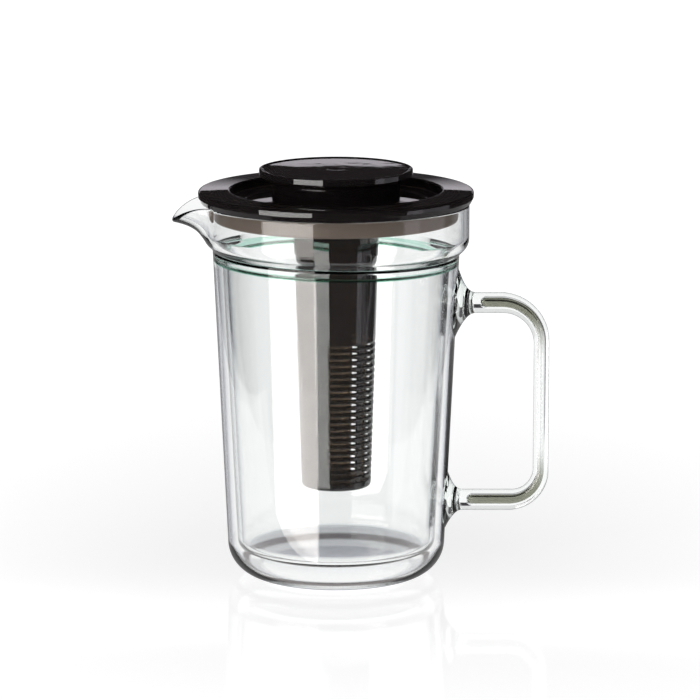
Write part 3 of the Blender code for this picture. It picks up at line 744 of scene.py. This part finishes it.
# Lid: one moulding in smoke-brown plastic, so dark that only its thin walls let light
# through. A crowned flange lies on the rim, a plug skirt hangs in the mouth, and a
# recessed well goes round the ring that carries the infuser.
def smoke_plastic_material(name, gloss, wave_scale, depth_density, satin_below=None):
    """Glossy smoke-brown plastic, brown in its depth, with the faint waves of a moulding and
    a few hairlines of wear. Below a given height it is satin, and the paler brown there is painted light for
    what a thin wall lets through."""
    made = bpy.data.materials.new(name)
    made.use_nodes = True
    tree = made.node_tree
    plastic = tree.nodes["Principled BSDF"]
    out = tree.nodes["Material Output"]
    plastic.inputs["IOR"].default_value = 1.57
    plastic.inputs["Transmission Weight"].default_value = 1.0
    place = tree.nodes.new("ShaderNodeTexCoord")
    waves = node_at(tree, "ShaderNodeTexNoise", Scale=wave_scale, Detail=2.0, Roughness=0.5)
    tree.links.new(place.outputs["Object"], waves.inputs["Vector"])
    bump = node_at(tree, "ShaderNodeBump", Strength=0.08, Distance=0.0002)
    tree.links.new(waves.outputs["Fac"], bump.inputs["Height"])
    tree.links.new(bump.outputs[0], plastic.inputs["Normal"])
    wear = node_at(tree, "ShaderNodeTexNoise", Scale=210.0, Detail=4.0, Roughness=0.6)
    tree.links.new(place.outputs["Object"], wear.inputs["Vector"])
    rough = tree.nodes.new("ShaderNodeMapRange")
    rough.inputs["From Min"].default_value = 0.35
    rough.inputs["From Max"].default_value = 0.75
    rough.inputs["To Min"].default_value = gloss
    rough.inputs["To Max"].default_value = gloss + 0.014
    tree.links.new(wear.outputs["Fac"], rough.inputs["Value"])
    shade = tree.nodes.new("ShaderNodeValToRGB")
    shade.color_ramp.elements[0].color = (0.86, 0.80, 0.78, 1.0)
    shade.color_ramp.elements[1].color = (0.94, 0.90, 0.88, 1.0)
    tree.links.new(waves.outputs["Fac"], shade.inputs[0])
    if satin_below is None:
        tree.links.new(rough.outputs[0], plastic.inputs["Roughness"])
        tree.links.new(shade.outputs[0], plastic.inputs["Base Color"])
    else:
        height = tree.nodes.new("ShaderNodeSeparateXYZ")
        tree.links.new(place.outputs["Object"], height.inputs[0])
        satin = tree.nodes.new("ShaderNodeMapRange")
        satin.inputs["From Min"].default_value = satin_below
        satin.inputs["From Max"].default_value = satin_below - 0.0004
        tree.links.new(height.outputs["Z"], satin.inputs["Value"])
        # Painted light: below that height the colour is a paler brown, for the light that comes through the
        # thin skirt
        brown = tree.nodes.new("ShaderNodeMix")
        brown.data_type = "RGBA"
        tree.links.new(satin.outputs[0], brown.inputs["Factor"])
        tree.links.new(shade.outputs[0], brown.inputs["A"])
        brown.inputs["B"].default_value = (0.125, 0.098, 0.078, 1.0)
        tree.links.new(brown.outputs["Result"], plastic.inputs["Base Color"])
        blurred = maths(tree, "MULTIPLY_ADD", satin.outputs[0], 0.30, rough.outputs[0])
        tree.links.new(blurred, plastic.inputs["Roughness"])
        glossy_share = maths(tree, "SUBTRACT", 1.0, satin.outputs[0])
        tree.links.new(glossy_share, plastic.inputs["Transmission Weight"])
        shine = maths(tree, "MULTIPLY_ADD", satin.outputs[0], -0.28, 0.5)
        tree.links.new(shine, plastic.inputs["Specular IOR Level"])
    depth = tree.nodes.new("ShaderNodeVolumeAbsorption")
    depth.inputs["Color"].default_value = (0.267, 0.187, 0.067, 1.0)
    depth.inputs["Density"].default_value = depth_density
    tree.links.new(depth.outputs[0], out.inputs["Volume"])
    haze = node_at(tree, "ShaderNodeBsdfDiffuse")
    haze.inputs["Color"].default_value = (0.34, 0.27, 0.28, 1.0)
    haze_share = maths(tree, "MULTIPLY_ADD", wear.outputs["Fac"], 0.03, 0.012)
    tree.links.new(mixed(tree, haze_share, plastic.outputs[0], haze.outputs[0]), out.inputs["Surface"])
    return made


plastic_steps = 192
flange_foot_z = 0.1905
flange_r = 0.0690
flange_edge_z = flange_foot_z + 0.0056
crown_z = flange_edge_z + 0.0004
undercut_z = flange_foot_z + 0.0021
undercut = 0.0013
well_r = 0.0530
well_floor_z = crown_z - 0.0049
well_step_r = 0.0450
low_floor_z = well_floor_z - 0.0006
lid_wall = 0.0022
plug_r = 0.0610
plug_top_r = plug_r + 0.0007
plug_foot_z = flange_foot_z - 0.0089
seat_ring_z = low_floor_z + 0.0030
hole_r = 0.0226
seat_ring_r = hole_r + 0.0036

# The paler brown below the flange's foot is painted light, for what the skirt's thin wall lets through
lid_plastic = smoke_plastic_material("smoke_plastic_lid", 0.006, 34.0, 1300.0, flange_foot_z - 0.0006)
lid_outline = rounded([
    (hole_r + 0.0010, low_floor_z - lid_wall, 0.0),
    (well_r + lid_wall, low_floor_z - lid_wall, 0.0010),
    (well_r + lid_wall, flange_edge_z - lid_wall, 0.0006),
    (plug_r - lid_wall, flange_edge_z - lid_wall, 0.0006),
    (plug_r - lid_wall, plug_foot_z, 0.0006),
    (plug_r, plug_foot_z, 0.0012),
    (plug_top_r, flange_foot_z, 0.0004),
    (flange_r - undercut, flange_foot_z, 0.0004),
    (flange_r - 0.0003, undercut_z, 0.0004),
    (flange_r, undercut_z + 0.0005, 0.0002),
    (flange_r, flange_edge_z, 0.0012),
    (well_r, crown_z, 0.0007),
    (well_r, well_floor_z, 0.0006),
    (well_step_r + 0.0006, well_floor_z, 0.0003),
    (well_step_r, low_floor_z, 0.0003),
    (seat_ring_r, low_floor_z, 0.0005),
    (seat_ring_r, seat_ring_z, 0.0004),
    (hole_r, seat_ring_z, 0.0004),
    (hole_r, low_floor_z - lid_wall, 0.0),
], 6)
lid = spun("lid_moulding", [lid_outline], plastic_steps, lid_plastic, closed=True)
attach(lid, "lid")
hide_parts("lid")

# Infuser: one long tapered tube in the same plastic, closed at its foot, which hangs in
# the lid's centre hole by a collar plate. Its lower part is a strainer: on the handle's
# side ring ribs run round two upright bars with open slots between, and the lip's side
# is smooth.
tube_top_r = 0.0221
tube_foot_r = 0.0176
tube_wall = 0.0020
tube_foot_z = 0.0455
tube_foot_edge_r = 0.0020
plate_z = seat_ring_z + 0.0003
plate_h = 0.0020
plate_r = hole_r + 0.0034
slot_count = 22
slot_pitch = 0.0033
slot_h = 0.0012
slot_foot_z = 0.0498
rib_depth = 0.0019
rib_edge_r = 0.00055
bar_width = 0.0030
window_start, window_end = math.radians(-102.0), math.radians(65.0)
bar_angle = math.radians(48.0)
strainer_top_z = slot_foot_z + (slot_count - 1) * slot_pitch + slot_h


def tube_r(z):
    """The tube's outer radius at a height."""
    share = (z - tube_foot_z) / (seat_ring_z - tube_foot_z)
    return tube_foot_r + (tube_top_r - tube_foot_r) * share


def tree_input(tree, name, kind, value):
    """A named input of a Geometry Nodes tree."""
    made = tree.interface.new_socket(name, in_out="INPUT", socket_type=kind)
    made.default_value = value
    return made.identifier


def rib_tree(material):
    """Ring ribs up the tube's taper: one rounded ring, set on a row of points and realized."""
    tree = bpy.data.node_groups.new("strainer_ribs", "GeometryNodeTree")
    tree.is_modifier = True
    tree.interface.new_socket("Geometry", in_out="INPUT", socket_type="NodeSocketGeometry")
    tree.interface.new_socket("Geometry", in_out="OUTPUT", socket_type="NodeSocketGeometry")
    sizes = {
        "Rib count": tree_input(tree, "Rib count", "NodeSocketInt", 23),
        "Pitch": tree_input(tree, "Pitch", "NodeSocketFloat", 0.0033),
        "First rib height": tree_input(tree, "First rib height", "NodeSocketFloat", 0.05),
        "First rib radius": tree_input(tree, "First rib radius", "NodeSocketFloat", 0.0176),
        "Radius gain a rib": tree_input(tree, "Radius gain a rib", "NodeSocketFloat", 0.0001),
        "Rib thickness": tree_input(tree, "Rib thickness", "NodeSocketFloat", 0.0017),
        "Rib depth": tree_input(tree, "Rib depth", "NodeSocketFloat", 0.001),
        "Edge radius": tree_input(tree, "Edge radius", "NodeSocketFloat", 0.0004),
        "Start angle": tree_input(tree, "Start angle", "NodeSocketFloat", -1.8),
        "Sweep angle": tree_input(tree, "Sweep angle", "NodeSocketFloat", 3.6),
    }
    given = tree.nodes.new("NodeGroupInput")
    result = tree.nodes.new("NodeGroupOutput")

    def link(first, second):
        tree.links.new(first, second)

    def calc(operation, first, second):
        made = tree.nodes.new("ShaderNodeMath")
        made.operation = operation
        for place, value in enumerate((first, second)):
            if isinstance(value, (int, float)):
                made.inputs[place].default_value = value
            else:
                link(value, made.inputs[place])
        return made.outputs[0]

    bow = tree.nodes.new("GeometryNodeCurveArc")
    bow.inputs["Resolution"].default_value = 110
    mid_radius = calc("SUBTRACT", given.outputs["First rib radius"],
                      calc("MULTIPLY", given.outputs["Rib depth"], 0.5))
    link(mid_radius, bow.inputs["Radius"])
    link(given.outputs["Start angle"], bow.inputs["Start Angle"])
    link(given.outputs["Sweep angle"], bow.inputs["Sweep Angle"])
    section = tree.nodes.new("GeometryNodeCurvePrimitiveQuadrilateral")
    link(given.outputs["Rib depth"], section.inputs["Width"])
    link(given.outputs["Rib thickness"], section.inputs["Height"])
    fillet = tree.nodes.new("GeometryNodeFilletCurve")
    fillet.mode = "POLY"
    fillet.inputs["Count"].default_value = 4
    link(section.outputs[0], fillet.inputs["Curve"])
    link(given.outputs["Edge radius"], fillet.inputs["Radius"])
    ring = tree.nodes.new("GeometryNodeCurveToMesh")
    link(bow.outputs["Curve"], ring.inputs["Curve"])
    link(fillet.outputs[0], ring.inputs["Profile Curve"])
    ring.inputs["Fill Caps"].default_value = True
    row = tree.nodes.new("GeometryNodeMeshLine")
    link(given.outputs["Rib count"], row.inputs["Count"])
    start = tree.nodes.new("ShaderNodeCombineXYZ")
    link(given.outputs["First rib height"], start.inputs["Z"])
    link(start.outputs[0], row.inputs["Start Location"])
    step = tree.nodes.new("ShaderNodeCombineXYZ")
    link(given.outputs["Pitch"], step.inputs["Z"])
    link(step.outputs[0], row.inputs["Offset"])
    number = tree.nodes.new("GeometryNodeInputIndex")
    grow = calc("ADD", 1.0, calc("DIVIDE", calc("MULTIPLY", number.outputs[0],
                                                given.outputs["Radius gain a rib"]), mid_radius))
    scale = tree.nodes.new("ShaderNodeCombineXYZ")
    link(grow, scale.inputs["X"])
    link(grow, scale.inputs["Y"])
    scale.inputs["Z"].default_value = 1.0
    set_out = tree.nodes.new("GeometryNodeInstanceOnPoints")
    link(row.outputs[0], set_out.inputs["Points"])
    link(ring.outputs[0], set_out.inputs["Instance"])
    link(scale.outputs[0], set_out.inputs["Scale"])
    real = tree.nodes.new("GeometryNodeRealizeInstances")
    link(set_out.outputs[0], real.inputs[0])
    smooth = tree.nodes.new("GeometryNodeSetShadeSmooth")
    link(real.outputs[0], smooth.inputs[0])
    coat = tree.nodes.new("GeometryNodeSetMaterial")
    coat.inputs["Material"].default_value = material
    link(smooth.outputs[0], coat.inputs["Geometry"])
    link(coat.outputs[0], result.inputs[0])
    return tree, sizes


def made_by(tree, values, name):
    """A plain mesh from a Geometry Nodes tree with its inputs set."""
    holder_mesh = bpy.data.meshes.new(name + "_start")
    holder = bpy.data.objects.new(name + "_start", holder_mesh)
    bpy.context.scene.collection.objects.link(holder)
    nodes = holder.modifiers.new("ribs", "NODES")
    nodes.node_group = tree
    for identifier, value in values.items():
        nodes[identifier] = value
    bpy.context.view_layer.update()
    depsgraph = bpy.context.evaluated_depsgraph_get()
    mesh = bpy.data.meshes.new_from_object(holder.evaluated_get(depsgraph))
    mesh.name = name
    holder.modifiers.clear()
    bpy.data.objects.remove(holder, do_unlink=True)
    bpy.data.meshes.remove(holder_mesh)
    return mesh


infuser_plastic = smoke_plastic_material("smoke_plastic_infuser", 0.008, 60.0, 1600.0)
barrel_outline = rounded([
    (tube_top_r - tube_wall, plate_z + plate_h, 0.0),
    (tube_r(strainer_top_z) - tube_wall, strainer_top_z, 0.0003),
    (tube_r(strainer_top_z), strainer_top_z, 0.0004),
    (tube_top_r, plate_z, 0.0003),
    (plate_r, plate_z, 0.0003),
    (plate_r, plate_z + plate_h, 0.0004),
    (tube_top_r - tube_wall + 0.0002, plate_z + plate_h, 0.0),
], 6)
foot_outline = rounded([
    (0.0, tube_foot_z, 0.0),
    (tube_foot_r, tube_foot_z, tube_foot_edge_r),
    (tube_r(slot_foot_z), slot_foot_z, 0.0004),
    (tube_r(slot_foot_z) - tube_wall, slot_foot_z, 0.0003),
    (tube_foot_r - tube_wall, tube_foot_z + tube_wall, 0.0004),
    (0.0, tube_foot_z + tube_wall, 0.0),
], 8)
barrel = spun("infuser_barrel", [barrel_outline], plastic_steps, infuser_plastic, closed=True)
foot = spun("infuser_foot", [foot_outline], plastic_steps, infuser_plastic)

rib_nodes, rib_sizes = rib_tree(infuser_plastic)
rib_z = slot_foot_z + slot_h + (slot_pitch - slot_h) / 2.0
rib_mesh = made_by(rib_nodes, {
    rib_sizes["Rib count"]: slot_count - 1,
    rib_sizes["Pitch"]: slot_pitch,
    rib_sizes["First rib height"]: rib_z,
    rib_sizes["First rib radius"]: tube_r(rib_z),
    rib_sizes["Radius gain a rib"]: tube_r(rib_z + slot_pitch) - tube_r(rib_z),
    rib_sizes["Rib thickness"]: slot_pitch - slot_h,
    rib_sizes["Rib depth"]: rib_depth,
    rib_sizes["Edge radius"]: rib_edge_r,
    rib_sizes["Start angle"]: window_start - 0.02,
    rib_sizes["Sweep angle"]: window_end - window_start + 0.04,
}, "infuser_ribs")

# Two upright bars and the smooth side of the tube run from the foot into the barrel
shape = bmesh.new()
shape.from_mesh(barrel.data)
shape.from_mesh(foot.data)
shape.from_mesh(rib_mesh)
bar_low_z, bar_high_z = slot_foot_z - 0.0003, strainer_top_z + 0.0003
bar_half = bar_width / tube_foot_r / 2.0
for middle, half, sunk, columns in (
    (-bar_angle, bar_half, 0.0009, 4),
    (bar_angle, bar_half, 0.0009, 4),
    ((window_start + window_end) / 2.0 + math.pi, math.pi - (window_end - window_start) / 2.0, -0.00002, 84),
):
    rings = []
    bar_rows = 16
    for i in range(bar_rows + 1):
        z = bar_low_z + (bar_high_z - bar_low_z) * i / bar_rows
        outer, inner = tube_r(z) - sunk, tube_r(z) - tube_wall
        ring = []
        for r, order in ((outer, range(columns + 1)), (inner, reversed(range(columns + 1)))):
            for c in order:
                angle = middle - half + 2.0 * half * c / columns
                ring.append(shape.verts.new((r * math.cos(angle), r * math.sin(angle), z)))
        rings.append(ring)
    count = len(rings[0])
    for low_ring, high_ring in zip(rings, rings[1:]):
        for k in range(count):
            n = (k + 1) % count
            shape.faces.new((low_ring[k], low_ring[n], high_ring[n], high_ring[k]))
    shape.faces.new(list(reversed(rings[0])))
    shape.faces.new(rings[-1])
for face in shape.faces:
    face.material_index = 0
infuser_mesh = bpy.data.meshes.new("infuser_moulding")
shape.to_mesh(infuser_mesh)
shape.free()
infuser_mesh.shade_smooth()
infuser_mesh.set_sharp_from_angle(angle=math.radians(50.0))
infuser_mesh.materials.append(infuser_plastic)
infuser = bpy.data.objects.new("infuser_moulding", infuser_mesh)
bpy.context.scene.collection.objects.link(infuser)
for used in (barrel, foot):
    bpy.data.objects.remove(used, do_unlink=True)
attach(infuser, "infuser")
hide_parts("infuser")

# Knob cap: a dished disc on a hollow drum, moulded in one with the stopper inside it that
# plugs the infuser's mouth. It is the grip for lifting the lid.
knob_r = 0.0385
knob_top_z = 0.2071
knob_edge_h = 0.0035
knob_dish = 0.0005
knob_rim_width = 0.0022
knob_dimple_r, knob_dimple = 0.0045, 0.0005
drum_r = 0.0321
drum_wall = 0.0020
drum_step = 0.0012
drum_foot_z = low_floor_z + 0.0003
dish_z = knob_top_z - knob_dish
knob_under_z = knob_top_z - 0.0038
stopper_z = knob_under_z - 0.0120
stopper_r = tube_r(stopper_z) - tube_wall - 0.0004
stopper_inner_r = stopper_r - 0.0018
disc_foot_z = knob_top_z - knob_edge_h

knob_plastic = smoke_plastic_material("smoke_plastic_knob", 0.006, 48.0, 2200.0)
knob_outline = rounded([
    (0.0, knob_under_z, 0.0),
    (stopper_inner_r, knob_under_z, 0.0006),
    (stopper_inner_r, stopper_z, 0.0005),
    (stopper_r, stopper_z, 0.0005),
    (stopper_r, knob_under_z, 0.0005),
    (drum_r - drum_wall, knob_under_z, 0.0008),
    (drum_r - drum_wall, drum_foot_z, 0.0004),
    (drum_r, drum_foot_z, 0.0005),
    (drum_r, disc_foot_z - 2.0 * drum_step, 0.0006),
    (drum_r + drum_step, disc_foot_z - drum_step, 0.0004),
    (drum_r + drum_step, disc_foot_z, 0.0004),
    (knob_r, disc_foot_z, 0.0005),
    (knob_r, knob_top_z, 0.0006),
    (knob_r - knob_rim_width / 2.0, knob_top_z, 0.0004),
    (knob_r - knob_rim_width, dish_z, 0.0006),
    (knob_dimple_r, dish_z, 0.0010),
    (knob_dimple_r / 2.0, dish_z - knob_dimple * 0.8, 0.0010),
    (0.0, dish_z - knob_dimple, 0.0),
], 8)
knob = spun("knob_moulding", [knob_outline], plastic_steps, knob_plastic)
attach(knob, "knob_cap")
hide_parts("knob_cap")

bpy.context.view_layer.update()
